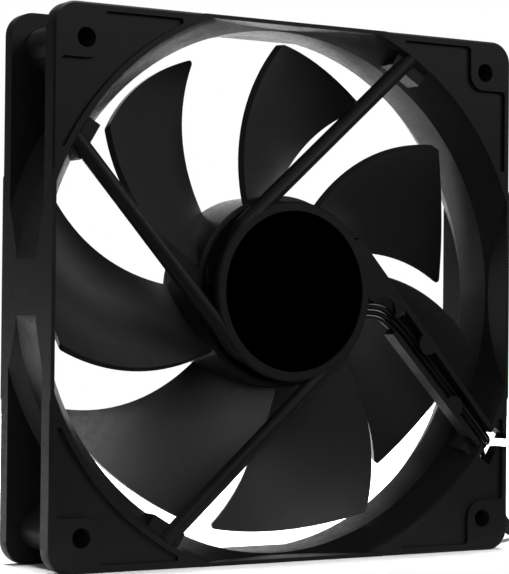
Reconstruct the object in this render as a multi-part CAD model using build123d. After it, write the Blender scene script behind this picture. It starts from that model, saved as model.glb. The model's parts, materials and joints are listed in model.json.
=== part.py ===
from build123d import *
import math
import os

# A 120 mm axial case fan standing on its edge, exhaust side towards -Y, with a three-wire lead.
# Row frame: millimetres, +Z up, origin on the rotor's axis at half the frame's depth.
# The fan itself is modelled lying flat, exhaust side up, and then stood up by UPRIGHT:
# flat X stays X, flat Y becomes Z, and flat Z becomes -Y. "height" below means flat Z.
UPRIGHT = Rot(90, 0, 0)

# --- Frame ------------------------------------------------------------------------------------
FRAME_SIDE = 120.0
FRAME_DEPTH = 25.0
HALF_SIDE = FRAME_SIDE / 2
FACE = FRAME_DEPTH / 2
CORNER_R = 5.1
EDGE_BEVEL = 0.45
REAR_FLANGE = 4.2
FRONT_FLANGE = 3.8
HOLE_SPACING = 105.0
HOLE_R = 2.15
HOLE_OFFSET = HOLE_SPACING / 2
COLUMN_R = 4.2

# --- Air duct ---------------------------------------------------------------------------------
DUCT_R = 58.8
DUCT_WALL = 1.5
THROAT_HALF = 4.9
FLARE_R = 63.1
SIDE_WALL = 0.9

# --- Shallow recesses in the corners of both faces --------------------------------------------
RECESS_DEPTH = 0.9
RECESS_EDGE = 58.4
RECESS_START = 29.3
RECESS_NOSE_R = 0.45
RECESS_CORNER_R = 1.0
RECESS_ARC_R = 64.4
LAND_EDGE = 48.3
LAND_CORNER_R = 3.7

# --- Motor base and its round struts ----------------------------------------------------------
BASE_R = 20.1
BASE_RIM_BEVEL = 0.5
BASE_LOW = 10.4
LABEL_R = 18.0
LABEL_BED = 11.9
LABEL_THICKNESS = 0.15
STRUT_R = 1.8
STRUT_HEIGHT = 10.7
STRUT_OFFSET = 19.35
STRUT_END = 60.0
STRUT_LEAN = 41.7
SPUR_TURN = 24.0
SPUR_END_R = 0.7
FOOT_WIDTH = 8.8
FOOT_THICKNESS = 3.8
FOOT_LOW = 6.4
FOOT_HIGH = 11.0
FOOT_R = 61.0
FOOT_SHIFT = -1.35
GUIDE_FOOT_ANGLE = -33.3
GUIDE_FOOT_WIDTH = 8.4

# --- Cable guide, which takes the place of the fourth strut -----------------------------------
# Its own plan frame: T runs outwards along the guide, N away from the fan's axis.
GUIDE_LEAN = 41.3
GUIDE_HIGH = 12.4
GUIDE_LOW = 8.7
GUIDE_FLOOR_TOP = 9.6
GUIDE_WALL = 1.2
GUIDE_OUTER_N = 21.3
GUIDE_INNER_N_START = 13.7
GUIDE_INNER_N_END = 14.9
GUIDE_T_START = 24.6
GUIDE_T_END = 60.5
WEB_THICKNESS = 1.35
TONGUE_THICKNESS = 0.9
UPPER_TONGUE = (32.9, 20.0, 2.6)
LOWER_TONGUE = (48.8, 15.8, 2.5)
WIRE_WELL = (55.66, -35.46)
WIRE_WELL_SIZE = (4.0, 8.2)
WIRE_WELL_TURN = -32.5
SLOT_Z = (-35.8, -34.0)

# --- Bearing ----------------------------------------------------------------------------------
SHAFT_R = 1.5
BORE_CLEARANCE = 0.03
TUBE_BORE_R = 3.5
TUBE_R = 4.7
TUBE_FRONT = -3.0
SLEEVE_LOW = -1.2
SLEEVE_HIGH = 8.8
SHAFT_REAR = 10.15
THRUST_PAD = (10.25, 10.85)
CAP_PLUG = (10.85, 11.9)

# --- Stator and circuit board -----------------------------------------------------------------
BOARD_LOW = 7.6
BOARD_HIGH = 8.6
BOARD_R = 18.9
BOARD_TAB_R = 20.3
BOARD_TAB = (0.9, 5.1)
PIN_ANGLES = (45, 225, 315)
PIN_HALF = 0.3
PIN_R = (6.8, 7.4)
CORE_LOW = -2.4
CORE_HIGH = 3.6
STATOR_R = 16.3
SHOE_INNER_R = 14.2
SHOE_ANGLE = 74.0
POLE_WIDTH = 4.6
CORE_HUB_R = 7.6
INSULATOR = 0.6
COIL_INNER_R = 8.6
COIL_OUTER_R = 13.2
COIL_BUILD = 1.7
POLE_COUNT = 4

# --- Rotor ------------------------------------------------------------------------------------
HUB_R = 21.65
HUB_WALL = 1.25
HUB_REAR = 5.9
HUB_FRONT = -11.6
HUB_PLATE = 1.6
HUB_NOSE_R = 2.6
HUB_BOSS_R = 5.2
HUB_BOSS_END = -5.0
BUSH_R = 3.0
YOKE_WALL = 0.9
YOKE_SPAN = (-6.0, 5.0)
MAGNET_WALL = 2.6
MAGNET_SPAN = (-5.2, 4.8)

# --- Blades -----------------------------------------------------------------------------------
BLADE_COUNT = 7
TIP_R = 55.5
TIP_TAPER = 0.066
TIP_CORNER_R = 0.8
BLADE_THICKNESS = 1.45
TRAILING_ANGLE = (63.6, 39.1)
TRAILING_BOW = 1.5
LEADING_ANGLE = (23.8, 2.4)
LEADING_BOW = 1.9
TRAILING_HEIGHT = (5.15, 5.2)
LEADING_HEIGHT = (-8.6, -9.35)
BLADE_CAMBER = (-0.6, 2.0)

# --- Lead -------------------------------------------------------------------------------------
WIRE_R = 0.64
WIRE_PITCH = 1.3
WIRE_BOARD_Y = -9.5
WIRE_PAD_Z = -2.6
LEAD_R = 1.6
BOOT_R = 2.3
BOOT_LENGTH = 4.0
FLOOR_Z = -HALF_SIDE
COIL_CENTRE = (92.3, -7.7)
TURN_R_OUTER = 19.1
TURN_R_INNER = 15.9
LEAD_ON_FLOOR = FLOOR_Z + LEAD_R
COIL_TOP = FLOOR_Z + 4 * LEAD_R
TIE_THICKNESS = 0.8
TIE_WIDTH = 4.0

LEAD_ROUTE = [
    (57.8, -4.4, -39.8),
    (60.8, -3.4, -44.8),
    (64.4, -1.6, -50.0),
    (69.4, 1.6, -55.2),
    (76.5, 6.2, LEAD_ON_FLOOR),
    (84.5, 10.2, LEAD_ON_FLOOR),
    (COIL_CENTRE[0], COIL_CENTRE[1] + TURN_R_OUTER, LEAD_ON_FLOOR),
]

TAIL_TOP = LEAD_ON_FLOOR + 2 * LEAD_R
TAIL_ROUTE = [
    (COIL_CENTRE[0], COIL_CENTRE[1] - TURN_R_OUTER, TAIL_TOP),
    (85.8, -27.0, TAIL_TOP),
    (80.4, -26.4, TAIL_TOP - 1.6),
    (75.4, -25.7, FLOOR_Z + 2.5),
]

PLUG_BACK_X = 69.8
PLUG_Y = -25.3
PLUG_SIZE = (11.6, 7.6, 5.0)
PLUG_PITCH = 2.54

PARTS_FOLDER = "parts"


# --- Small helpers ----------------------------------------------------------------------------
def disc(radius, low, high):
    """Round disc about the fan's axis between two heights."""
    return Pos(0, 0, (low + high) / 2) * Cylinder(radius, high - low)


def ring(inner_r, outer_r, low, high):
    """Flat ring about the fan's axis between two heights."""
    return disc(outer_r, low, high) - disc(inner_r, low, high)


def block(x_span, y_span, z_span):
    """Square-edged block given by its spans along X, Y and Z."""
    centre = [(low + high) / 2 for low, high in (x_span, y_span, z_span)]
    size = [high - low for low, high in (x_span, y_span, z_span)]
    return Pos(*centre) * Box(*size)


def prism(points, low, high):
    """Upright prism on a polygon of plan points."""
    outline = make_face(Polyline(*points, close=True))
    return Pos(0, 0, low) * extrude(outline, high - low)


def turned(profile):
    """Solid of revolution about the fan's axis from (radius, height) points."""
    outline = make_face(Plane.XZ * Polyline(*profile, close=True))
    return revolve(outline, Axis.Z)


def polar(radius, degrees, height):
    angle = math.radians(degrees)
    return (radius * math.cos(angle), radius * math.sin(angle), height)


def group(shapes):
    """Several separate solids kept in one node."""
    return Compound(children=[part.solid() for part in shapes])


def blend(pair, share):
    return pair[0] + (pair[1] - pair[0]) * share


# --- Frame moulding ---------------------------------------------------------------------------
def flange(low, high, outer_face):
    """Square plate with rounded corners and a small bevel round its outer face."""
    plate = Pos(0, 0, low) * extrude(RectangleRounded(FRAME_SIDE, FRAME_SIDE, CORNER_R), high - low)
    face = plate.faces().sort_by(Axis.Z)[outer_face]
    return chamfer(face.outer_wire().edges(), EDGE_BEVEL)


def duct_envelope(extra):
    """Double-flared barrel: the duct's bore with extra = 0, its outer skin with the wall added."""
    throat = DUCT_R + extra
    mouth = FLARE_R + extra
    return turned([
        (0, -FACE), (mouth, -FACE), (throat, -THROAT_HALF),
        (throat, THROAT_HALF), (mouth, FACE), (0, FACE),
    ])


def screw_columns():
    """Four posts between the flanges, each joined to the duct by a flat-sided neck."""
    posts = []
    for quarter in range(4):
        post = Pos(HOLE_OFFSET, HOLE_OFFSET, 0) * Cylinder(COLUMN_R, FRAME_DEPTH - 2 * EDGE_BEVEL)
        reach = HOLE_OFFSET * math.sqrt(2) - DUCT_R
        neck = Rot(0, 0, 45) * block(
            (DUCT_R, DUCT_R + reach), (-COLUMN_R, COLUMN_R), (-FACE + EDGE_BEVEL, FACE - EDGE_BEVEL))
        posts.append(Rot(0, 0, 90 * quarter) * (post + neck))
    return posts


def corner_recess():
    """Sketch of one corner's shallow recess: it leaves a lip round the duct and a land round the hole."""
    span = RECESS_EDGE - RECESS_START
    middle = (RECESS_EDGE + RECESS_START) / 2
    land_size = 2 * (HALF_SIDE + CORNER_R - LAND_EDGE)
    sketch = Pos(middle, middle) * Rectangle(span, span) - Circle(RECESS_ARC_R)
    land = Pos(LAND_EDGE + land_size / 2, LAND_EDGE + land_size / 2)
    sketch -= land * RectangleRounded(land_size, land_size, LAND_CORNER_R)
    noses = [point for point in sketch.vertices() if min(point.X, point.Y) < RECESS_START + 0.01]
    sketch = fillet(noses, RECESS_NOSE_R)
    corners = [point for point in sketch.vertices()
               if max(point.X, point.Y) > RECESS_EDGE - 0.01 and min(point.X, point.Y) > LAND_EDGE - 0.1]
    return fillet(corners, RECESS_CORNER_R)


def recess_cuts():
    cuts = []
    for quarter in range(4):
        for low in (-FACE, FACE - RECESS_DEPTH):
            cuts.append(Rot(0, 0, 90 * quarter) * Pos(0, 0, low) * extrude(corner_recess(), RECESS_DEPTH))
    return cuts


def motor_base():
    """Base disc with a label bed, a bevelled rim and the bearing tube, in one turned shape."""
    return turned([
        (TUBE_BORE_R, TUBE_FRONT), (TUBE_R, TUBE_FRONT), (TUBE_R, BASE_LOW), (BASE_R, BASE_LOW),
        (BASE_R, FACE - BASE_RIM_BEVEL), (BASE_R - BASE_RIM_BEVEL, FACE), (LABEL_R, FACE),
        (LABEL_R, LABEL_BED), (TUBE_BORE_R, LABEL_BED),
    ])


def foot(degrees, width):
    """Small block on the duct wall, where a strut or the cable guide meets it."""
    depth = (FOOT_R - FOOT_THICKNESS / 2, FOOT_R + FOOT_THICKNESS / 2)
    return Rot(0, 0, degrees) * block(depth, (-width / 2, width / 2), (FOOT_LOW, FOOT_HIGH))


def strut():
    """Round bar tangential to the base, with a tapered spur along the base's rim and a foot."""
    bar = Pos(STRUT_END / 2, STRUT_OFFSET, STRUT_HEIGHT) * Rot(0, 90, 0) * Cylinder(STRUT_R, STRUT_END)
    start = Vector(0, STRUT_OFFSET, STRUT_HEIGHT)
    spur_end = Vector(*polar(STRUT_OFFSET, 90 + SPUR_TURN, STRUT_HEIGHT))
    run = spur_end - start
    spur = Plane(origin=start, z_dir=run) * Cone(STRUT_R, SPUR_END_R, run.length, align=(
        Align.CENTER, Align.CENTER, Align.MIN))
    bar += spur + Pos(*start) * Sphere(STRUT_R)
    foot_along = math.sqrt(FOOT_R ** 2 - STRUT_OFFSET ** 2)
    foot_angle = math.degrees(math.atan2(STRUT_OFFSET, foot_along)) + FOOT_SHIFT
    return Rot(0, 0, STRUT_LEAN) * (bar + foot(foot_angle, FOOT_WIDTH))


def guide_plan(along, outwards):
    """Plan point (x, y) from the guide's own T and N distances."""
    lean = math.radians(GUIDE_LEAN)
    out = (math.cos(lean), math.sin(lean))
    run = (math.sin(lean), -math.cos(lean))
    return (along * run[0] + outwards * out[0], along * run[1] + outwards * out[1])


def guide_prism(corners, low, high):
    return prism([guide_plan(along, outwards) for along, outwards in corners], low, high)


def guide_tongue(place):
    along, outwards, radius = place
    x, y = guide_plan(along, outwards)
    middle = GUIDE_HIGH - TONGUE_THICKNESS / 2
    return Pos(x, y, middle) * Cylinder(radius, TONGUE_THICKNESS)


def cable_guide():
    """Open channel for the three wires: two walls, a floor, a web to the base and two tongues."""
    upper = guide_prism([
        (2, GUIDE_OUTER_N - GUIDE_WALL), (2, GUIDE_OUTER_N),
        (GUIDE_T_END, GUIDE_OUTER_N), (GUIDE_T_END, GUIDE_OUTER_N - GUIDE_WALL)], GUIDE_LOW, GUIDE_HIGH)
    lower = guide_prism([
        (GUIDE_T_START, GUIDE_INNER_N_START), (GUIDE_T_START, GUIDE_INNER_N_START + GUIDE_WALL),
        (GUIDE_T_END, GUIDE_INNER_N_END + GUIDE_WALL), (GUIDE_T_END, GUIDE_INNER_N_END)],
        GUIDE_LOW, GUIDE_HIGH)
    floor = guide_prism([
        (GUIDE_T_START, GUIDE_INNER_N_START), (GUIDE_T_START, GUIDE_OUTER_N),
        (GUIDE_T_END, GUIDE_OUTER_N), (GUIDE_T_END, GUIDE_INNER_N_END)], GUIDE_LOW, GUIDE_FLOOR_TOP)
    web = guide_prism([
        (2, 19.0), (2, GUIDE_OUTER_N), (22.5, GUIDE_OUTER_N), (22.5, 17.0), (14.1, 14.0), (9.0, 16.5)],
        GUIDE_HIGH - WEB_THICKNESS, GUIDE_HIGH)
    bite_x, bite_y = guide_plan(19.0, 15.3)
    web -= Pos(bite_x, bite_y, FACE) * Cylinder(3.3, 4 * WEB_THICKNESS)
    shape = upper + lower + floor + web
    outside_channel = guide_prism([
        (0, GUIDE_INNER_N_START), (0, GUIDE_OUTER_N), (GUIDE_T_END, GUIDE_OUTER_N),
        (GUIDE_T_END, GUIDE_INNER_N_END)], GUIDE_LOW, GUIDE_HIGH)
    for place in (UPPER_TONGUE, LOWER_TONGUE):
        shape += guide_tongue(place) & outside_channel
    return shape


def wire_passages():
    """Cuts for the wires: the channel's end, the well and the side slot."""
    channel_end = guide_prism([
        (48.0, GUIDE_INNER_N_END + GUIDE_WALL), (48.0, GUIDE_OUTER_N - GUIDE_WALL),
        (65.5, GUIDE_OUTER_N - GUIDE_WALL), (65.5, GUIDE_INNER_N_END + GUIDE_WALL)],
        GUIDE_FLOOR_TOP, FACE + 1)
    well = Pos(WIRE_WELL[0], WIRE_WELL[1], FACE - REAR_FLANGE / 2) * Rot(0, 0, WIRE_WELL_TURN)
    well *= Box(WIRE_WELL_SIZE[0], WIRE_WELL_SIZE[1], REAR_FLANGE + 4)
    side_slot = block((WIRE_WELL[0], HALF_SIDE + 1), SLOT_Z, (FACE - REAR_FLANGE - 1, FACE + 1))
    return channel_end, well, side_slot


def fan_frame():
    skin = duct_envelope(DUCT_WALL) & Box(FRAME_SIDE, FRAME_SIDE, FRAME_DEPTH)
    shell = skin + flange(FACE - REAR_FLANGE, FACE, -1) + flange(-FACE, -FACE + FRONT_FLANGE, 0)
    for post in screw_columns():
        shell += post
    corner_prism = extrude(RectangleRounded(FRAME_SIDE, FRAME_SIDE, CORNER_R), FACE, both=True)
    shell &= corner_prism
    bore = duct_envelope(0) & Box(FRAME_SIDE - 2 * SIDE_WALL, FRAME_SIDE - 2 * SIDE_WALL, FRAME_DEPTH)
    shell -= bore
    for x in (-HOLE_OFFSET, HOLE_OFFSET):
        for y in (-HOLE_OFFSET, HOLE_OFFSET):
            shell -= Pos(x, y, 0) * Cylinder(HOLE_R, FRAME_DEPTH + 1)
    for cut in recess_cuts():
        shell -= cut
    channel_end, well, side_slot = wire_passages()
    shell = shell - channel_end - well - side_slot
    envelope = duct_envelope(DUCT_WALL / 2)
    middle = motor_base()
    for quarter in range(3):
        middle += (Rot(0, 0, 90 * quarter) * strut()) & envelope
    middle += cable_guide() - well
    middle += (foot(GUIDE_FOOT_ANGLE, GUIDE_FOOT_WIDTH) & envelope) - channel_end - well
    middle -= disc(LABEL_R, LABEL_BED, FACE + 1)
    return shell + middle


# --- Bearing pieces ---------------------------------------------------------------------------
def rear_label():
    return disc(LABEL_R - 0.1, LABEL_BED, LABEL_BED + LABEL_THICKNESS)


def bearing_cap():
    """Rubber plug that closes the bearing tube under the label."""
    return disc(TUBE_BORE_R, *CAP_PLUG)


def thrust_pad():
    """Low-friction disc that the shaft's rounded end runs against."""
    return disc(TUBE_BORE_R - 0.1, *THRUST_PAD)


def sleeve_bearing():
    """Sintered bronze sleeve with bevelled ends, pressed into the tube."""
    sleeve = ring(SHAFT_R + BORE_CLEARANCE, TUBE_BORE_R, SLEEVE_LOW, SLEEVE_HIGH)
    rims = sleeve.edges().filter_by(GeomType.CIRCLE).filter_by(lambda edge: edge.radius > SHAFT_R + 1)
    return chamfer(rims, 0.3)


# --- Circuit board ----------------------------------------------------------------------------
def pin_places(low, high):
    """Square posts at the three terminal pins' places, between two heights."""
    return [Rot(0, 0, degrees) * block(PIN_R, (-PIN_HALF, PIN_HALF), (low, high)) for degrees in PIN_ANGLES]


def circuit_board():
    """Round board on the bearing tube, with a tab that shows beside the motor base."""
    board = disc(BOARD_R, BOARD_LOW, BOARD_HIGH)
    board += block((-BOARD_TAB_R, 0), BOARD_TAB, (BOARD_LOW, BOARD_HIGH))
    board -= disc(TUBE_R, BOARD_LOW, BOARD_HIGH)
    for pin in pin_places(BOARD_LOW, BOARD_HIGH):
        board -= pin
    return board


def chip(size, radius, degrees, legs):
    """Moulded chip hanging under the board, with short legs on two sides."""
    length, width, height = size
    body = Pos(radius, 0, BOARD_LOW - height / 2) * Box(width, length, height)
    body = chamfer(body.faces().sort_by(Axis.Z)[0].edges(), 0.2)
    for index in range(legs):
        y = (index - (legs - 1) / 2) * length / legs
        for side in (-1, 1):
            x = radius + side * (width / 2 + 0.35)
            body += Pos(x, y, BOARD_LOW - 0.2) * Box(0.8, 0.4, 0.4)
    return Rot(0, 0, degrees) * body


def hall_sensor():
    return chip((2.9, 1.4, 1.1), 17.3, 52, 2)


def driver_chip():
    return chip((4.9, 3.0, 1.2), 14.0, 135, 4)


def filter_capacitor():
    body = Pos(15.6, 0, BOARD_LOW - 0.65) * Box(1.6, 3.2, 1.3)
    return Rot(0, 0, -50) * fillet(body.edges().filter_by(Axis.Z), 0.25)


def protection_diode():
    body = Pos(15.6, 0, BOARD_LOW - 0.55) * Box(1.6, 2.8, 1.1)
    return Rot(0, 0, -130) * chamfer(body.faces().sort_by(Axis.Z)[0].edges(), 0.2)


def board_resistors():
    """Three small chip resistors beside the driver."""
    chips = []
    for degrees in (166, 180, 194):
        chips.append(Rot(0, 0, degrees) * Pos(17.2, 0, BOARD_LOW - 0.3) * Box(0.9, 1.7, 0.6))
    return group(chips)


# --- Stator -----------------------------------------------------------------------------------
def pole_pattern(low, high, hub_r, width, shoe_inner, shoe_outer):
    """Plan of the four-pole core between two heights: hub, necks and curved shoes."""
    plan = disc(hub_r, low, high)
    wedge_reach = 2 * shoe_outer
    for index in range(POLE_COUNT):
        turn = Rot(0, 0, index * 360 / POLE_COUNT)
        neck = block((0, (shoe_inner + shoe_outer) / 2), (-width / 2, width / 2), (low, high))
        half = math.radians(SHOE_ANGLE / 2)
        wedge = prism([
            (0, 0), (wedge_reach * math.cos(half), -wedge_reach * math.sin(half)),
            (wedge_reach * math.cos(half), wedge_reach * math.sin(half))], low, high)
        plan += turn * neck
        plan += turn * (ring(shoe_inner, shoe_outer, low, high) & wedge)
    return plan


def stator_core():
    core = pole_pattern(CORE_LOW, CORE_HIGH, CORE_HUB_R, POLE_WIDTH, SHOE_INNER_R, STATOR_R)
    return core - disc(TUBE_R, CORE_LOW, CORE_HIGH)


def insulator(core_face, side):
    """Plastic end insulator: a thin plate on the core, with a raised wall round hub and shoes."""
    plate_end = core_face + side * INSULATOR
    wall_end = core_face + side * (INSULATOR + COIL_BUILD)
    low, high = sorted((core_face, plate_end))
    plate = pole_pattern(low, high, CORE_HUB_R, POLE_WIDTH, SHOE_INNER_R, STATOR_R - 0.4)
    low, high = sorted((plate_end, wall_end))
    hub_wall = ring(CORE_HUB_R - 0.9, CORE_HUB_R, low, high)
    shoes = pole_pattern(low, high, CORE_HUB_R, POLE_WIDTH, SHOE_INNER_R, SHOE_INNER_R + 0.9)
    shoe_wall = shoes - disc(SHOE_INNER_R, low, high)
    return plate + hub_wall + shoe_wall - disc(TUBE_R, CORE_LOW - 5, CORE_HIGH + 5)


def winding(index):
    """Copper wound round one pole neck, as a rounded rectangular ring."""
    low = CORE_LOW - INSULATOR - COIL_BUILD
    high = CORE_HIGH + INSULATOR + COIL_BUILD
    half_width = POLE_WIDTH / 2 + COIL_BUILD
    coil = block((COIL_INNER_R, COIL_OUTER_R), (-half_width, half_width), (low, high))
    coil = fillet(coil.edges().filter_by(Axis.X), 1.2)
    window = block((0, STATOR_R), (-POLE_WIDTH / 2, POLE_WIDTH / 2),
                   (CORE_LOW - INSULATOR, CORE_HIGH + INSULATOR))
    return Rot(0, 0, index * 360 / POLE_COUNT) * (coil - window)


def terminal_pins():
    """Three square pins from the rear insulator through the board."""
    return group(pin_places(CORE_HIGH + INSULATOR + COIL_BUILD, BOARD_HIGH + 0.6))


# --- Rotor ------------------------------------------------------------------------------------
def blade_surface():
    """Twisted, cambered middle surface of one blade, from inside the hub to past the tip."""
    rows = []
    root_r = HUB_R - HUB_WALL / 2
    for radial in range(7):
        share = radial / 6 * 1.06 - 0.02
        radius = root_r + (TIP_R - root_r) * share
        row = []
        for chord in range(9):
            step = chord / 8
            bow = 4 * share * (1 - share)
            leading = blend(LEADING_ANGLE, share) + LEADING_BOW * bow
            trailing = blend(TRAILING_ANGLE, share) + TRAILING_BOW * bow
            angle = blend((leading, trailing), step)
            height = blend((blend(LEADING_HEIGHT, share), blend(TRAILING_HEIGHT, share)), step)
            height -= 4 * step * (1 - step) * blend(BLADE_CAMBER, share)
            row.append(Vector(*polar(radius, angle, height)))
        rows.append(row)
    return Face.make_surface_from_array_of_points(rows)


def blade():
    sheet = thicken(blade_surface(), BLADE_THICKNESS / 2, both=True)
    inner = HUB_R - HUB_WALL / 2
    taper = TIP_TAPER * FACE
    vane = sheet & turned([(inner, -FACE), (TIP_R - taper, -FACE), (TIP_R + taper, FACE), (inner, FACE)])
    tip_corners = [edge for edge in vane.edges()
                   if edge.length < 2 * BLADE_THICKNESS and math.hypot(*tuple(edge.center())[:2]) > TIP_R - 1]
    return fillet(tip_corners, TIP_CORNER_R)


def hub_cup():
    """Cup that carries the magnet: closed and rounded in front, open at the rear."""
    cup = disc(HUB_R, HUB_FRONT, HUB_REAR)
    cup = fillet(cup.edges().filter_by(GeomType.CIRCLE).sort_by(Axis.Z)[0], HUB_NOSE_R)
    cup -= disc(HUB_R - HUB_WALL, HUB_FRONT + HUB_PLATE, HUB_REAR)
    cup += disc(HUB_BOSS_R, HUB_FRONT + HUB_PLATE / 2, HUB_BOSS_END)
    return cup - disc(BUSH_R, HUB_FRONT + HUB_PLATE / 2, HUB_BOSS_END)


def impeller():
    """Hub and seven blades in one moulding."""
    moulding = hub_cup()
    single = blade()
    for index in range(BLADE_COUNT):
        moulding += Rot(0, 0, index * 360 / BLADE_COUNT) * single
    return moulding


def rotor_yoke():
    outer = HUB_R - HUB_WALL
    return ring(outer - YOKE_WALL, outer, *YOKE_SPAN)


def magnet_ring():
    outer = HUB_R - HUB_WALL - YOKE_WALL
    return ring(outer - MAGNET_WALL, outer, *MAGNET_SPAN)


def shaft_bush():
    """Brass bush moulded into the hub's boss, which grips the shaft."""
    return ring(SHAFT_R, BUSH_R, HUB_FRONT + HUB_PLATE / 2, HUB_BOSS_END)


def shaft():
    """Steel shaft with a rounded rear end and a groove for the retaining ring."""
    pin = disc(SHAFT_R, HUB_FRONT + HUB_PLATE / 2, SHAFT_REAR)
    pin = fillet(pin.edges().filter_by(GeomType.CIRCLE).sort_by(Axis.Z)[-1], 0.9)
    return pin - ring(SHAFT_R - 0.3, SHAFT_R, 9.05, 9.45)


def retaining_ring():
    """Split washer snapped into the shaft's groove, just behind the sleeve."""
    washer = ring(SHAFT_R - 0.3, 2.9, 9.05, 9.45)
    return washer - block((0, 4), (-0.5, 0.5), (9.0, 9.5))


def oil_washer():
    """Thin ring on the shaft in front of the sleeve, which turns oil back."""
    return ring(SHAFT_R, 2.8, SLEEVE_LOW - 0.8, SLEEVE_LOW - 0.3)


# --- Lead -------------------------------------------------------------------------------------
def corner_radii(points):
    """Arc radius for every corner of a route: 0.45 of the shorter run over the tangent of half the turn."""
    radii = []
    for before, here, after in zip(points, points[1:], points[2:]):
        first = Vector(*here) - Vector(*before)
        second = Vector(*after) - Vector(*here)
        half_turn = math.radians(first.get_angle(second)) / 2
        radii.append(0.45 * min(first.length, second.length) / math.tan(half_turn))
    return radii


def round_cord(name, points, radius):
    """Round cord along straight runs joined by tangent arcs. Prints its radii, length and volume check."""
    radii = corner_radii(points)
    path = FilletPolyline(*points, radius=radii)
    start = Plane(origin=path @ 0, z_dir=path % 0)
    cord = sweep(start * Circle(radius), path=path)
    expected = math.pi * radius ** 2 * path.length
    print(name, "radii", [round(value, 1) for value in radii], "length", round(path.length, 1),
          "volume ratio", round(cord.volume / expected, 4))
    return cord


def lead_start_frame():
    """Start of the sleeve, its direction, and two directions square to it."""
    start = Vector(*LEAD_ROUTE[0])
    along = (Vector(*LEAD_ROUTE[1]) - start).normalized()
    side = Vector(-along.Z, 0, along.X).normalized()
    return start, along, side, along.cross(side)


def wire_end(index):
    """Point where a wire meets the boot: the three lie in a triangle."""
    start, along, side, depth = lead_start_frame()
    spot = start - along * 0.3 + side * 1.1 * (1 - index)
    spot += depth * (-1.25 if index == 1 else 0.6)
    return (spot.X, spot.Y, spot.Z)


def wire_route(index):
    """Route of one of the three wires: board pad, skirt slot, channel, well and boot."""
    across = GUIDE_INNER_N_START + GUIDE_WALL + WIRE_R + 0.3 + (2 - index) * WIRE_PITCH
    across_end = GUIDE_INNER_N_END + GUIDE_WALL + WIRE_R + 0.05 + (2 - index) * WIRE_PITCH
    pad_z = WIRE_PAD_Z - WIRE_PITCH * index
    near = guide_plan(25.5 + 0.5 * index, across)
    far = guide_plan(57.0, across_end)
    corner = guide_plan(63.3, across_end)
    channel_y = -(GUIDE_FLOOR_TOP + WIRE_R + 0.03)
    return [
        (14.6, WIRE_BOARD_Y, pad_z),
        (20.0, WIRE_BOARD_Y, pad_z),
        (24.9 - 0.45 * index, channel_y, pad_z - 0.3),
        (near[0], channel_y, near[1]),
        (far[0], channel_y, far[1]),
        (corner[0], channel_y, corner[1]),
        (corner[0] + 0.35 - 0.15 * index, -6.3, corner[1] - 0.8),
        wire_end(index),
    ]


def lead_wire(index):
    return round_cord("wire " + str(index), wire_route(index), WIRE_R)


def solder_joints():
    """Three small domes where the wires meet the board."""
    domes = []
    for index in range(3):
        x, y, z = wire_route(index)[0]
        domes.append(Pos(x - 0.75, -BOARD_HIGH, z) * Rot(90, 0, 0) * Cone(0.65, 0.4, 0.9, align=(
            Align.CENTER, Align.CENTER, Align.MIN)))
    return group(domes)


def coil_section(extra, low, high):
    """Ring with the coil's outline, grown by extra all round in plan, between two levels."""
    inner = TURN_R_INNER - LEAD_R - extra
    outer = TURN_R_OUTER + LEAD_R + extra
    return Pos(COIL_CENTRE[0], COIL_CENTRE[1], 0) * ring(inner, outer, low, high)


def coil_tie():
    """Flat strap closed round the coil's turns, which it lifts off the floor by its thickness."""
    outside = coil_section(TIE_THICKNESS, FLOOR_Z, COIL_TOP + 2 * TIE_THICKNESS)
    return (outside & tied_slice()) - lifted_coil()


def tied_slice():
    """Box round the part of the coil that the strap holds."""
    middle = COIL_CENTRE[1]
    return block((COIL_CENTRE[0], COIL_CENTRE[0] + 2 * TURN_R_OUTER),
                 (middle - TIE_WIDTH / 2, middle + TIE_WIDTH / 2), (FLOOR_Z - 5, 0))


def lifted_coil():
    return coil_section(0, FLOOR_Z + TIE_THICKNESS, COIL_TOP + TIE_THICKNESS)


def lead_coil():
    """Outer shape of the wound lead: two turns wide and two turns high, lifted inside the strap."""
    coil = coil_section(0, FLOOR_Z, COIL_TOP) - tied_slice()
    return coil + (lifted_coil() & tied_slice())


def lead_tube():
    return round_cord("lead tube", LEAD_ROUTE, LEAD_R) - lead_coil()


def lead_boot():
    """Shrunk collar round the start of the sleeve."""
    start, along, side, depth = lead_start_frame()
    frame = Plane(origin=start, x_dir=side, z_dir=along)
    collar = frame * Cone(BOOT_R, LEAD_R + 0.2, BOOT_LENGTH, align=(Align.CENTER, Align.CENTER, Align.MIN))
    return collar - round_cord("lead tube", LEAD_ROUTE, LEAD_R)


def lead_tail():
    return round_cord("lead tail", TAIL_ROUTE, LEAD_R) - lead_coil()


def plug_wires():
    """Three wires that spread from the end of the sleeve into the plug."""
    wires = []
    end = TAIL_ROUTE[-1]
    for index in (-1, 0, 1):
        points = [
            (end[0] - 0.45, end[1] + 0.95 * index, end[2]),
            (end[0] - 1.9, end[1] + 1.5 * index + 0.05, end[2]),
            (PLUG_BACK_X + 1.6, PLUG_Y + (PLUG_PITCH - 0.3) * index, end[2]),
            (PLUG_BACK_X, PLUG_Y + PLUG_PITCH * index, end[2]),
        ]
        wires.append(round_cord("plug wire", points, 0.45))
    return group(wires)


def plug_cells(low, high, size):
    """Three square prisms on the plug's pitch, between two X levels."""
    middle = FLOOR_Z + PLUG_SIZE[2] / 2
    cells = []
    for index in (-1, 0, 1):
        y = PLUG_Y + PLUG_PITCH * index
        cells.append(block((low, high), (y - size / 2, y + size / 2), (middle - size / 2, middle + size / 2)))
    return cells


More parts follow.
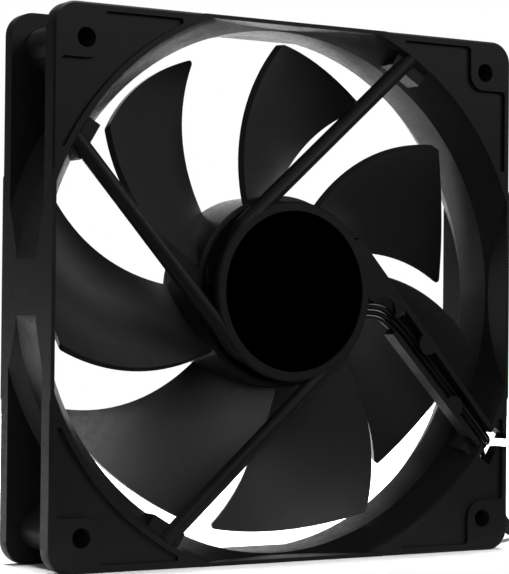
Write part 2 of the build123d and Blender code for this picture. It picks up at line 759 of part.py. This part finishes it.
def plug_housing():
    """Three-way crimp housing with pin cavities, side windows and two polarising ribs."""
    length, width, height = PLUG_SIZE
    front = PLUG_BACK_X - length
    body = block((front, PLUG_BACK_X), (PLUG_Y - width / 2, PLUG_Y + width / 2), (FLOOR_Z, FLOOR_Z + height))
    body = chamfer(body.edges().filter_by(Axis.X), 0.3)
    for y in (-PLUG_PITCH / 2, PLUG_PITCH / 2):
        body += block((front, front + 7.0), (PLUG_Y + y - 0.4, PLUG_Y + y + 0.4),
                      (FLOOR_Z + height - 0.2, FLOOR_Z + height + 0.7))
    for cell in plug_cells(front - 1, PLUG_BACK_X + 1, 1.7):
        body -= cell
    return body


def crimp_terminals():
    """Three hollow socket contacts inside the plug."""
    front = PLUG_BACK_X - PLUG_SIZE[0]
    shells = []
    holes = plug_cells(front, PLUG_BACK_X - 3.4, 0.8)
    for shell, hole in zip(plug_cells(front + 0.6, PLUG_BACK_X - 2.4, 1.68), holes):
        shells.append(shell - hole)
    return group(shells)


# --- Export -----------------------------------------------------------------------------------
FLAT_PARTS = {
    "fan_frame": fan_frame,
    "rear_label": rear_label,
    "bearing_cap": bearing_cap,
    "thrust_pad": thrust_pad,
    "sleeve_bearing": sleeve_bearing,
    "circuit_board": circuit_board,
    "hall_sensor": hall_sensor,
    "driver_chip": driver_chip,
    "filter_capacitor": filter_capacitor,
    "protection_diode": protection_diode,
    "board_resistors": board_resistors,
    "stator_core": stator_core,
    "rear_insulator": lambda: insulator(CORE_HIGH, 1),
    "front_insulator": lambda: insulator(CORE_LOW, -1),
    "terminal_pins": terminal_pins,
    "impeller": impeller,
    "rotor_yoke": rotor_yoke,
    "magnet_ring": magnet_ring,
    "shaft_bush": shaft_bush,
    "shaft": shaft,
    "retaining_ring": retaining_ring,
    "oil_washer": oil_washer,
}

UPRIGHT_PARTS = {
    "solder_joints": solder_joints,
    "lead_boot": lead_boot,
    "lead_tube": lead_tube,
    "lead_coil": lead_coil,
    "lead_tail": lead_tail,
    "coil_tie": coil_tie,
    "plug_wires": plug_wires,
    "plug_housing": plug_housing,
    "crimp_terminals": crimp_terminals,
}


def main():
    os.makedirs(PARTS_FOLDER, exist_ok=True)
    shapes = {name: UPRIGHT * make() for name, make in FLAT_PARTS.items()}
    for index in range(POLE_COUNT):
        shapes["winding_" + str(index + 1)] = UPRIGHT * winding(index)
    for index, colour in enumerate(("power", "ground", "speed")):
        shapes[colour + "_wire"] = lead_wire(index)
    for name, make in UPRIGHT_PARTS.items():
        shapes[name] = make()
    for name, shape in shapes.items():
        export_step(shape, os.path.join(PARTS_FOLDER, name + ".step"))


main()
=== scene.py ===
import json
import math

import bpy
from mathutils import Matrix, Vector


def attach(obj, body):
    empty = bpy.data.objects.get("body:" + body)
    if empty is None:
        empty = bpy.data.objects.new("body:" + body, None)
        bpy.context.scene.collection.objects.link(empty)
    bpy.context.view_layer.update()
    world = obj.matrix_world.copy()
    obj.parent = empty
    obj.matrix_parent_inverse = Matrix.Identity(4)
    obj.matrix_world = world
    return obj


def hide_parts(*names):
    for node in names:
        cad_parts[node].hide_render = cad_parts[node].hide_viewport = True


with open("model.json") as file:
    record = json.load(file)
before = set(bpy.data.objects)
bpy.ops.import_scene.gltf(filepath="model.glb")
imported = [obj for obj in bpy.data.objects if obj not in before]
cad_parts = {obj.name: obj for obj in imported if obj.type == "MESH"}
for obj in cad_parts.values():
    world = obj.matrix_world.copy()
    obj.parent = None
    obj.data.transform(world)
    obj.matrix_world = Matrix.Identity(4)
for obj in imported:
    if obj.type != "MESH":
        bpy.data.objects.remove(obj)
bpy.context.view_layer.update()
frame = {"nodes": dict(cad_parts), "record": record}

# A 120 mm case fan, standing on its edge with its exhaust side towards -Y.
# Lengths in this file are written in millimetres and multiplied by MM.
MM = 0.001
nodes = frame["nodes"]
scene = bpy.context.scene


def metres(*values):
    return tuple(value * MM for value in values)


# --- Camera, in degrees and millimetres --------------------------------------------------------
CAMERA_AZIMUTH = -31.277
CAMERA_ELEVATION = -1.099
CAMERA_ROLL = 0.543
CAMERA_DISTANCE = 467.716
CAMERA_RIGHT = 2.713
CAMERA_UP = -1.116
CAMERA_LENS = 128.798
CAMERA_SENSOR = 36
CAMERA_CLIP = 0.01


def make_camera():
    """Camera at the photograph's viewing angle."""
    azimuth = math.radians(CAMERA_AZIMUTH)
    elevation = math.radians(CAMERA_ELEVATION)
    roll = math.radians(CAMERA_ROLL)
    back = Vector((
        math.sin(azimuth) * math.cos(elevation),
        -math.cos(azimuth) * math.cos(elevation),
        math.sin(elevation)))
    level_right = (-back).cross(Vector((0, 0, 1))).normalized()
    level_up = level_right.cross(-back)
    right = math.cos(roll) * level_right + math.sin(roll) * level_up
    up = math.cos(roll) * level_up - math.sin(roll) * level_right
    place = (CAMERA_DISTANCE * back - CAMERA_RIGHT * right - CAMERA_UP * up) * MM
    data = bpy.data.cameras.new("camera")
    data.sensor_width = CAMERA_SENSOR
    data.lens = CAMERA_LENS
    data.clip_start = CAMERA_CLIP
    camera = bpy.data.objects.new("camera", data)
    scene.collection.objects.link(camera)
    camera.matrix_world = Matrix((
        (right.x, up.x, back.x, place.x),
        (right.y, up.y, back.y, place.y),
        (right.z, up.z, back.z, place.z),
        (0, 0, 0, 1)))
    scene.camera = camera


make_camera()


# --- The lead: a free cord, from the frame's corner to its plug --------------------------------
LEAD_R = 1.6
LEAD_LENGTH = 0.448
FLOOR_Z = -60.0
LOWER_Z = FLOOR_Z + LEAD_R
UPPER_Z = LOWER_Z + 2 * LEAD_R
COIL_X = 92.3
COIL_Y = -7.7
OUTER_R = 19.1
INNER_R = 15.9
POINTS_PER_TURN = 24
BEVEL_SIDES = 6
STEPS_PER_POINT = 6

LEAD_START = [
    (57.8, -4.4, -39.8), (60.8, -3.4, -44.8), (64.4, -1.6, -50.0), (69.4, 1.6, -55.2),
    (76.5, 6.2, LOWER_Z), (84.5, 10.2, LOWER_Z),
]
LEAD_END = [
    (85.8, -27.0, UPPER_Z), (80.4, -26.4, UPPER_Z - 1.6), (75.4, -25.7, FLOOR_Z + 2.5),
]

# Turn counted from the coil's north point, and the winding's radius and height there.
WINDING = [
    (0.00, OUTER_R, LOWER_Z), (0.62, OUTER_R, LOWER_Z), (0.75, 18.5, LOWER_Z),
    (0.86, 17.4, LOWER_Z), (0.95, 16.2, LOWER_Z), (1.02, INNER_R, LOWER_Z), (1.55, INNER_R, LOWER_Z),
    (1.75, INNER_R, LOWER_Z + 1.9), (1.90, INNER_R, UPPER_Z - 0.2), (2.00, INNER_R, UPPER_Z),
    (2.52, INNER_R, UPPER_Z), (2.66, 18.2, UPPER_Z), (2.78, OUTER_R, UPPER_Z),
    (3.50, OUTER_R, UPPER_Z),
]

# The turns rise by TIE_LIFT over the tie's strap, and come down again over TIE_RAMP of a turn.
TIE_LIFT = 0.8
TIE_TURN = 0.25
TIE_FLAT = 0.03
TIE_RAMP = 0.10


def winding_at(turn):
    """Radius and height at an angle, from the table above by straight interpolation."""
    for (start, r0, z0), (end, r1, z1) in zip(WINDING, WINDING[1:]):
        if turn <= end:
            share = (turn - start) / (end - start)
            return r0 + (r1 - r0) * share, z0 + (z1 - z0) * share
    return WINDING[-1][1:]


def coil_points():
    """Control points of the coil's three and a half turns, clockwise seen from above."""
    points = []
    total = WINDING[-1][0]
    # A spline of order 3 cuts inside its control points, so they stand this much further out.
    swell = 4 / (3 + math.cos(2 * math.pi / POINTS_PER_TURN))
    for step in range(round(total * POINTS_PER_TURN) + 1):
        turn = step / POINTS_PER_TURN
        radius, height = winding_at(turn)
        away = abs((turn - TIE_TURN + 0.5) % 1 - 0.5)
        lift = TIE_LIFT * max(0.0, 1 - max(0.0, away - TIE_FLAT) / TIE_RAMP)
        angle = math.pi / 2 - 2 * math.pi * turn
        points.append((
            COIL_X + radius * swell * math.cos(angle), COIL_Y + radius * swell * math.sin(angle),
            height + lift))
    return points


def nurbs_cord(name, points, radius):
    """A round cord on a smooth NURBS spline. Its radius is each point's own, on a bevel of 1."""
    data = bpy.data.curves.new(name, "CURVE")
    data.dimensions = "3D"
    data.bevel_depth = 1
    data.bevel_resolution = BEVEL_SIDES
    data.use_fill_caps = True
    data.resolution_u = STEPS_PER_POINT
    spline = data.splines.new("NURBS")
    spline.points.add(len(points) - 1)
    for point, place in zip(spline.points, points):
        point.co = (*metres(*place), 1)
        point.radius = radius * MM
    spline.order_u = 3
    spline.use_endpoint_u = True
    piece = bpy.data.objects.new(name, data)
    scene.collection.objects.link(piece)
    return piece


lead = nurbs_cord("lead", LEAD_START + coil_points() + LEAD_END, LEAD_R)
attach(lead, "housing")
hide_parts("lead_tube", "lead_coil", "lead_tail")


# --- Materials ---------------------------------------------------------------------------------
FLOW_SIZE = 14.0
GRAIN_SHARE = 0.6
GROOVE_SHARE = 0.3
SCRATCH_SIZE = 0.25
TRACK_SLOPE = 1.6


class Finish:
    """Builds one procedural material, in the object's own metres."""

    def __init__(self, name, colour, roughness, specular=0.5, metallic=0.0):
        self.name = name
        self.material = bpy.data.materials.new(name)
        self.material.use_nodes = True
        self.tree = self.material.node_tree
        self.shader = self.tree.nodes["Principled BSDF"]
        self.place = self.node("ShaderNodeTexCoord").outputs["Object"]
        self.set("Base Color", (*colour, 1))
        self.set("Roughness", roughness)
        self.set("Specular IOR Level", specular)
        self.set("Metallic", metallic)
        self.normal = None

    def node(self, kind, **settings):
        made = self.tree.nodes.new(kind)
        for key, value in settings.items():
            setattr(made, key, value)
        return made

    def link(self, source, target):
        self.tree.links.new(source, target)

    def set(self, socket, value):
        self.shader.inputs[socket].default_value = value

    def stretched(self, stretch):
        """The object's coordinates, scaled along each axis."""
        mapping = self.node("ShaderNodeMapping")
        mapping.inputs["Scale"].default_value = stretch
        self.link(self.place, mapping.inputs["Vector"])
        return mapping.outputs["Vector"]

    def noise(self, size, detail=2.0, stretch=None):
        """Cloudy noise with blobs of about this size in millimetres."""
        made = self.node("ShaderNodeTexNoise")
        made.inputs["Scale"].default_value = 1 / (size * MM)
        made.inputs["Detail"].default_value = detail
        self.link(self.stretched(stretch) if stretch else self.place, made.inputs["Vector"])
        return made.outputs["Fac"]

    def cells(self, size):
        """Rounded grains of about this size in millimetres."""
        made = self.node("ShaderNodeTexVoronoi", feature="SMOOTH_F1")
        made.inputs["Scale"].default_value = 1 / (size * MM)
        self.link(self.place, made.inputs["Vector"])
        return made.outputs["Distance"]

    def spread(self, value, low, high, start=0.3, end=0.7):
        """Turns a texture's middle range into the range from low to high."""
        made = self.node("ShaderNodeMapRange")
        ends = {"From Min": start, "From Max": end, "To Min": low, "To Max": high}
        for socket, number in ends.items():
            made.inputs[socket].default_value = number
        self.link(value, made.inputs["Value"])
        return made.outputs["Result"]

    def math(self, operation, *values):
        made = self.node("ShaderNodeMath", operation=operation)
        for socket, value in zip(made.inputs, values):
            if isinstance(value, (int, float)):
                socket.default_value = value
            else:
                self.link(value, socket)
        return made.outputs[0]

    def blend(self, first, second, share):
        """Adds up two textures, with this share of the first."""
        return self.math(
            "ADD", self.math("MULTIPLY", first, share), self.math("MULTIPLY", second, 1 - share))

    def colours(self, value, first, second):
        """Blends two colours by a texture and gives the result to the shader."""
        made = self.node("ShaderNodeMix", data_type="RGBA")
        ends = {"A": (*first, 1), "B": (*second, 1)}
        for socket in made.inputs:
            if socket.type == "RGBA":
                socket.default_value = ends[socket.name]
        self.link(value, made.inputs[0])
        result = next(socket for socket in made.outputs if socket.type == "RGBA")
        self.link(result, self.shader.inputs["Base Color"])

    def distance_from_axis(self):
        """Distance from the fan's axis in metres."""
        made = self.node("ShaderNodeVectorMath", operation="LENGTH")
        self.link(self.stretched((1, 0, 1)), made.inputs[0])
        return made.outputs["Value"]

    def rings(self, size):
        """Uneven rings about the fan's axis, of about this width in millimetres."""
        made = self.node("ShaderNodeTexNoise", noise_dimensions="1D")
        made.inputs["Scale"].default_value = 1 / (size * MM)
        made.inputs["Detail"].default_value = 2
        self.link(self.distance_from_axis(), made.inputs["W"])
        return made.outputs["Fac"]

    def ridge(self, value, per_unit):
        """Rounded ridges from 0 to 1, so many to a unit of the value."""
        turned = self.math("MULTIPLY", value, 2 * math.pi * per_unit)
        return self.math("MULTIPLY_ADD", self.math("SINE", turned), 0.5, 0.5)

    def bands(self, pitch, along):
        """Rounded ridges at a pitch in millimetres, along an axis, the radius or the X + Z slope."""
        if along == "radius":
            value = self.distance_from_axis()
        else:
            split = self.node("ShaderNodeSeparateXYZ")
            self.link(self.place, split.inputs[0])
            if along == "slope":
                value = self.math("ADD", split.outputs[0], split.outputs[2])
            else:
                value = split.outputs[along]
        return self.ridge(value, 1 / (pitch * MM))

    def wound_ribs(self, along, around):
        """Ridges that wind round a cord: so many along its whole length, and so many round it."""
        split = self.node("ShaderNodeSeparateXYZ")
        self.link(self.node("ShaderNodeTexCoord").outputs["UV"], split.inputs[0])
        lengthwise = self.math("MULTIPLY", split.outputs[0], along)
        sideways = self.math("MULTIPLY", split.outputs[1], around)
        return self.ridge(self.math("ADD", lengthwise, sideways), 1)

    def traces(self, size, width):
        """Flat tracks between angular cells of this size, both in millimetres."""
        made = self.node("ShaderNodeTexVoronoi", feature="DISTANCE_TO_EDGE")
        made.inputs["Scale"].default_value = 1 / (size * MM)
        self.link(self.place, made.inputs["Vector"])
        return self.spread(made.outputs["Distance"], 1, 0, width, width * TRACK_SLOPE)

    def roughness(self, value, low, high):
        self.link(self.spread(value, low, high), self.shader.inputs["Roughness"])

    def bump(self, height, depth, strength=1.0):
        """Adds relief of this depth in millimetres."""
        made = self.node("ShaderNodeBump")
        made.inputs["Distance"].default_value = depth * MM
        made.inputs["Strength"].default_value = strength
        self.link(height, made.inputs["Height"])
        if self.normal is not None:
            self.link(self.normal, made.inputs["Normal"])
        self.normal = made.outputs["Normal"]
        self.link(self.normal, self.shader.inputs["Normal"])


def moulded(name, dark, light, roughness, grain, relief, specular):
    """Moulded plastic: a fine eroded grain, slow flow clouds and small changes of shine."""
    finish = Finish(name, dark, sum(roughness) / 2, specular)
    fine = finish.noise(grain, 3)
    clouds = finish.noise(FLOW_SIZE, 2)
    finish.colours(finish.blend(fine, clouds, GRAIN_SHARE), dark, light)
    finish.roughness(finish.noise(grain * 5, 3), *roughness)
    finish.bump(fine, relief)
    finish.bump(finish.cells(grain * 2.2), relief * 0.6, 0.6)
    return finish


def turned_metal(name, dark, light, roughness, groove, relief):
    """Metal turned about the fan's axis: fine rings of uneven depth, with faint cloudy tarnish."""
    finish = Finish(name, dark, sum(roughness) / 2, metallic=1.0)
    rings = finish.rings(groove)
    tarnish = finish.noise(3.0, 4)
    finish.colours(finish.blend(rings, tarnish, GROOVE_SHARE), dark, light)
    finish.roughness(tarnish, *roughness)
    finish.bump(rings, relief, 0.7)
    return finish


def plated_metal(name, dark, light, roughness, stretch):
    """Plated sheet metal: drawn scratches one way, over a cloudy shine."""
    finish = Finish(name, dark, sum(roughness) / 2, metallic=1.0)
    scratches = finish.noise(SCRATCH_SIZE, 3, stretch)
    finish.colours(finish.noise(2.0, 3), dark, light)
    finish.roughness(scratches, *roughness)
    finish.bump(scratches, 0.004, 0.6)
    return finish


def wound_copper():
    """Enamelled wire in layers: rounded strands side by side, each a little different."""
    finish = Finish("copper_enamel", (0.45, 0.14, 0.05), 0.3, metallic=0.85)
    strands = finish.bands(0.32, "radius")
    uneven = finish.math("MULTIPLY", strands, finish.noise(1.5, 2))
    finish.colours(uneven, (0.16, 0.045, 0.015), (0.62, 0.22, 0.08))
    finish.roughness(finish.noise(0.8, 2), 0.22, 0.38)
    finish.bump(strands, 0.12)
    return finish


def stacked_steel():
    """Edges of stacked steel sheets, with burrs between them and a dark varnish in patches."""
    finish = Finish("lamination_steel", (0.2, 0.2, 0.21), 0.42, metallic=0.9)
    sheets = finish.bands(0.5, 1)
    varnish = finish.math("MULTIPLY", sheets, finish.noise(1.2, 3))
    finish.colours(varnish, (0.05, 0.05, 0.055), (0.4, 0.4, 0.42))
    finish.roughness(finish.noise(0.6, 3), 0.32, 0.55)
    finish.bump(sheets, 0.05)
    return finish


def solder_mask():
    """Solder mask over copper traces, with the glass weave just showing. Its near-black colour is the mask's
    own dark tone and, in part, painted shade for the gap under the hub.
    """
    finish = Finish("board_laminate", (0.0016, 0.0024, 0.0020), 0.3, 0.2)
    traces = finish.traces(1.6, 0.16)
    weave = finish.math("MULTIPLY", finish.bands(0.45, 0), finish.bands(0.45, 2))
    patchy = finish.math("MULTIPLY", traces, finish.noise(0.9, 2))
    # These near-black mask colours are partly painted shade for the gap under the hub.
    finish.colours(patchy, (0.0014, 0.0024, 0.0019), (0.0035, 0.0065, 0.0050))
    finish.roughness(weave, 0.24, 0.36)
    finish.bump(traces, 0.035)
    finish.bump(weave, 0.006)
    return finish


def woven_strap():
    """Woven strap: crossed ribs of thread with a little fuzz."""
    finish = Finish("tie_strap", (0.011, 0.011, 0.0115), 0.75, 0.2)
    ribs = finish.math("MULTIPLY", finish.bands(0.4, 1), finish.bands(0.55, "slope"))
    finish.colours(ribs, (0.006, 0.006, 0.0065), (0.020, 0.020, 0.021))
    finish.roughness(finish.noise(0.4, 2), 0.65, 0.85)
    finish.bump(ribs, 0.08)
    finish.bump(finish.noise(0.15, 2), 0.02)
    return finish


def sintered_bronze():
    """Oil-filled sintered bronze: packed grains with dark pores between them."""
    finish = Finish("bearing_bronze", (0.4, 0.26, 0.12), 0.4, metallic=0.9)
    grains = finish.cells(0.18)
    finish.colours(grains, (0.5, 0.33, 0.16), (0.16, 0.09, 0.04))
    finish.roughness(finish.noise(0.7, 3), 0.3, 0.5)
    finish.bump(grains, 0.02, 0.8)
    return finish


BRAID_PITCH = 2.2
BRAID_THREADS = 8


def braided_sleeve():
    """Black sleeve over the lead's wires: two sets of fine ribs that wind round it crosswise."""
    finish = Finish("sleeve_braid", (0.010, 0.010, 0.0105), 0.55, 0.35)
    turns = LEAD_LENGTH / (BRAID_PITCH * MM)
    one_way = finish.wound_ribs(turns, BRAID_THREADS)
    braid = finish.math("MULTIPLY", one_way, finish.wound_ribs(turns, -BRAID_THREADS))
    finish.colours(braid, (0.006, 0.006, 0.0065), (0.019, 0.019, 0.020))
    finish.roughness(finish.noise(0.5, 2), 0.45, 0.62)
    finish.bump(braid, 0.09)
    return finish


# Slot, darkest and lightest colour, roughness range, grain and relief in millimetres, specular.
MOULDED = [
    ("housing_plastic", (0.0050, 0.0050, 0.0052), (0.0078, 0.0078, 0.0080), (0.40, 0.52), 0.28, 0.012, 0.08),
    ("rotor_plastic", (0.0092, 0.0092, 0.0095), (0.0125, 0.0125, 0.0128), (0.33, 0.41), 0.22, 0.005, 0.25),
    ("label_film", (0.00003, 0.00003, 0.00003), (0.00006, 0.00006, 0.00006), (0.60, 0.70), 0.4, 0.002, 0.0),
    ("wire_jacket", (0.0025, 0.0025, 0.0025), (0.004, 0.004, 0.004), (0.12, 0.2), 0.5, 0.004, 0.3),
    ("sleeve_jacket", (0.008, 0.008, 0.0085), (0.014, 0.014, 0.0145), (0.5, 0.65), 0.3, 0.02, 0.3),
    ("plug_plastic", (0.009, 0.009, 0.0095), (0.014, 0.014, 0.0145), (0.35, 0.48), 0.25, 0.006, 0.4),
    ("chip_epoxy", (0.010, 0.010, 0.011), (0.018, 0.018, 0.019), (0.55, 0.75), 0.12, 0.010, 0.3),
    ("capacitor_ceramic", (0.34, 0.24, 0.16), (0.48, 0.36, 0.25), (0.35, 0.5), 0.15, 0.006, 0.5),
    ("insulator_nylon", (0.006, 0.006, 0.0062), (0.010, 0.010, 0.0104), (0.36, 0.5), 0.3, 0.008, 0.2),
    ("washer_nylon", (0.72, 0.72, 0.69), (0.84, 0.84, 0.81), (0.3, 0.42), 0.2, 0.005, 0.5),
    ("cap_rubber", (0.016, 0.016, 0.016), (0.026, 0.026, 0.026), (0.7, 0.85), 0.35, 0.02, 0.25),
    # magnet_ferrite: the ferrite's own dark grey, darkened further to near black as painted shade for the
    # gap under the hub.
    ("magnet_ferrite", (0.002, 0.0019, 0.0019), (0.004, 0.0038, 0.0038), (0.5, 0.7), 0.1, 0.015, 0.1),
    # yoke_steel: its near-black colour is painted shade for the dark gap under the hub.
    ("yoke_steel", (0.002, 0.002, 0.0022), (0.004, 0.004, 0.0042), (0.45, 0.6), 0.35, 0.008, 0.1),
]
FINISHES = [moulded(*row) for row in MOULDED] + [
    plated_metal("contact_metal", (0.55, 0.53, 0.50), (0.74, 0.72, 0.68), (0.22, 0.38), (0.15, 1, 1)),
    plated_metal("solder", (0.5, 0.5, 0.51), (0.72, 0.72, 0.73), (0.16, 0.34), (1, 1, 1)),
    turned_metal("bush_brass", (0.55, 0.38, 0.16), (0.74, 0.56, 0.27), (0.2, 0.32), 0.22, 0.010),
    turned_metal("shaft_steel", (0.6, 0.6, 0.62), (0.76, 0.76, 0.78), (0.08, 0.16), 0.12, 0.002),
    wound_copper(), stacked_steel(), solder_mask(), woven_strap(), sintered_bronze(),
]
SLOT_FINISH = {finish.name: finish.material for finish in FINISHES}


def paint(piece, material):
    """Puts a material in all of a piece's slots."""
    if piece.type == "MESH" and piece.material_slots:
        for holder in piece.material_slots:
            holder.material = material
    else:
        piece.data.materials.append(material)


for subpart in frame["record"]["subparts"]:
    paint(nodes[subpart["node"]], SLOT_FINISH[subpart["material_slot"]])
paint(lead, braided_sleeve().material)


# --- Softened edges ----------------------------------------------------------------------------
WELD_REACH = 0.002
EDGE_WIDTH = 0.12
EDGE_SEGMENTS = 2
EDGE_ANGLE = 24.0


def soften(piece):
    """Rounds a piece's sharp edges by a small real bevel."""
    weld = piece.modifiers.new("weld", "WELD")
    weld.merge_threshold = WELD_REACH * MM
    bevel = piece.modifiers.new("bevel", "BEVEL")
    bevel.width = EDGE_WIDTH * MM
    bevel.segments = EDGE_SEGMENTS
    bevel.limit_method = "ANGLE"
    bevel.angle_limit = math.radians(EDGE_ANGLE)
    bevel.harden_normals = True


soften(nodes["fan_frame"])


# --- Studio, in metres, watts and degrees ------------------------------------------------------
FLOOR_EDGES = (-0.30, 0.52, -0.036, 0.70)
FLOOR_COLOUR = (0.86, 0.86, 0.86)
FLOOR_ROUGHNESS = 0.8
FLOOR_SPECULAR = 0.1
BACKGROUND_SEEN = 1.0
BACKGROUND_GLOW = 0.09
WHITE = (1, 1, 1, 1)
CENTRE = (0, 0, 0)
PANEL = (0.5, 0.4)
BACKDROP_WAY = (0.519, 0.854, 0.15)
BACKDROP_DISTANCE = 0.85


def make_floor():
    """A plain pale floor. It ends near the object's front, where it would light the dark plastic."""
    data = bpy.data.meshes.new("floor")
    left, right, near, far = FLOOR_EDGES
    level = FLOOR_Z * MM
    corners = [(left, near, level), (right, near, level), (right, far, level), (left, far, level)]
    data.from_pydata(corners, [], [(0, 1, 2, 3)])
    floor = bpy.data.objects.new("floor", data)
    scene.collection.objects.link(floor)
    finish = Finish("floor", FLOOR_COLOUR, FLOOR_ROUGHNESS, FLOOR_SPECULAR)
    data.materials.append(finish.material)


def make_light(name, place, target, size, power, spread=180):
    """A soft rectangular light that faces its target."""
    data = bpy.data.lights.new(name, "AREA")
    data.shape = "RECTANGLE"
    data.size, data.size_y = size
    data.energy = power
    data.spread = math.radians(spread)
    light = bpy.data.objects.new(name, data)
    scene.collection.objects.link(light)
    light.location = place
    light.rotation_euler = (Vector(target) - Vector(place)).to_track_quat("-Z", "Y").to_euler()


def make_world():
    """White where the camera sees it, and a dim glow for everything else."""
    world = bpy.data.worlds.new("studio")
    scene.world = world
    world.use_nodes = True
    tree = world.node_tree
    seen = tree.nodes["Background"]
    seen.inputs["Color"].default_value = WHITE
    seen.inputs["Strength"].default_value = BACKGROUND_SEEN
    glow = tree.nodes.new("ShaderNodeBackground")
    glow.inputs["Color"].default_value = WHITE
    glow.inputs["Strength"].default_value = BACKGROUND_GLOW
    rays = tree.nodes.new("ShaderNodeLightPath")
    mix = tree.nodes.new("ShaderNodeMixShader")
    tree.links.new(rays.outputs["Is Camera Ray"], mix.inputs[0])
    tree.links.new(glow.outputs[0], mix.inputs[1])
    tree.links.new(seen.outputs[0], mix.inputs[2])
    tree.links.new(mix.outputs[0], tree.nodes["World Output"].inputs["Surface"])


make_floor()
make_world()
make_light("key", (0.45, -0.69, 0.47), CENTRE, PANEL, 5.6)
make_light("fill", (-0.36, -0.80, 0.30), CENTRE, PANEL, 2.2)
make_light("top", (0.20, 0.37, 0.62), (0.20, 0.37, 0), (0.9, 0.8), 9.5, spread=52)
make_light("backdrop", [BACKDROP_DISTANCE * way for way in BACKDROP_WAY], CENTRE, (0.8, 0.7), 2.7)
scene.view_settings.view_transform = "Standard"
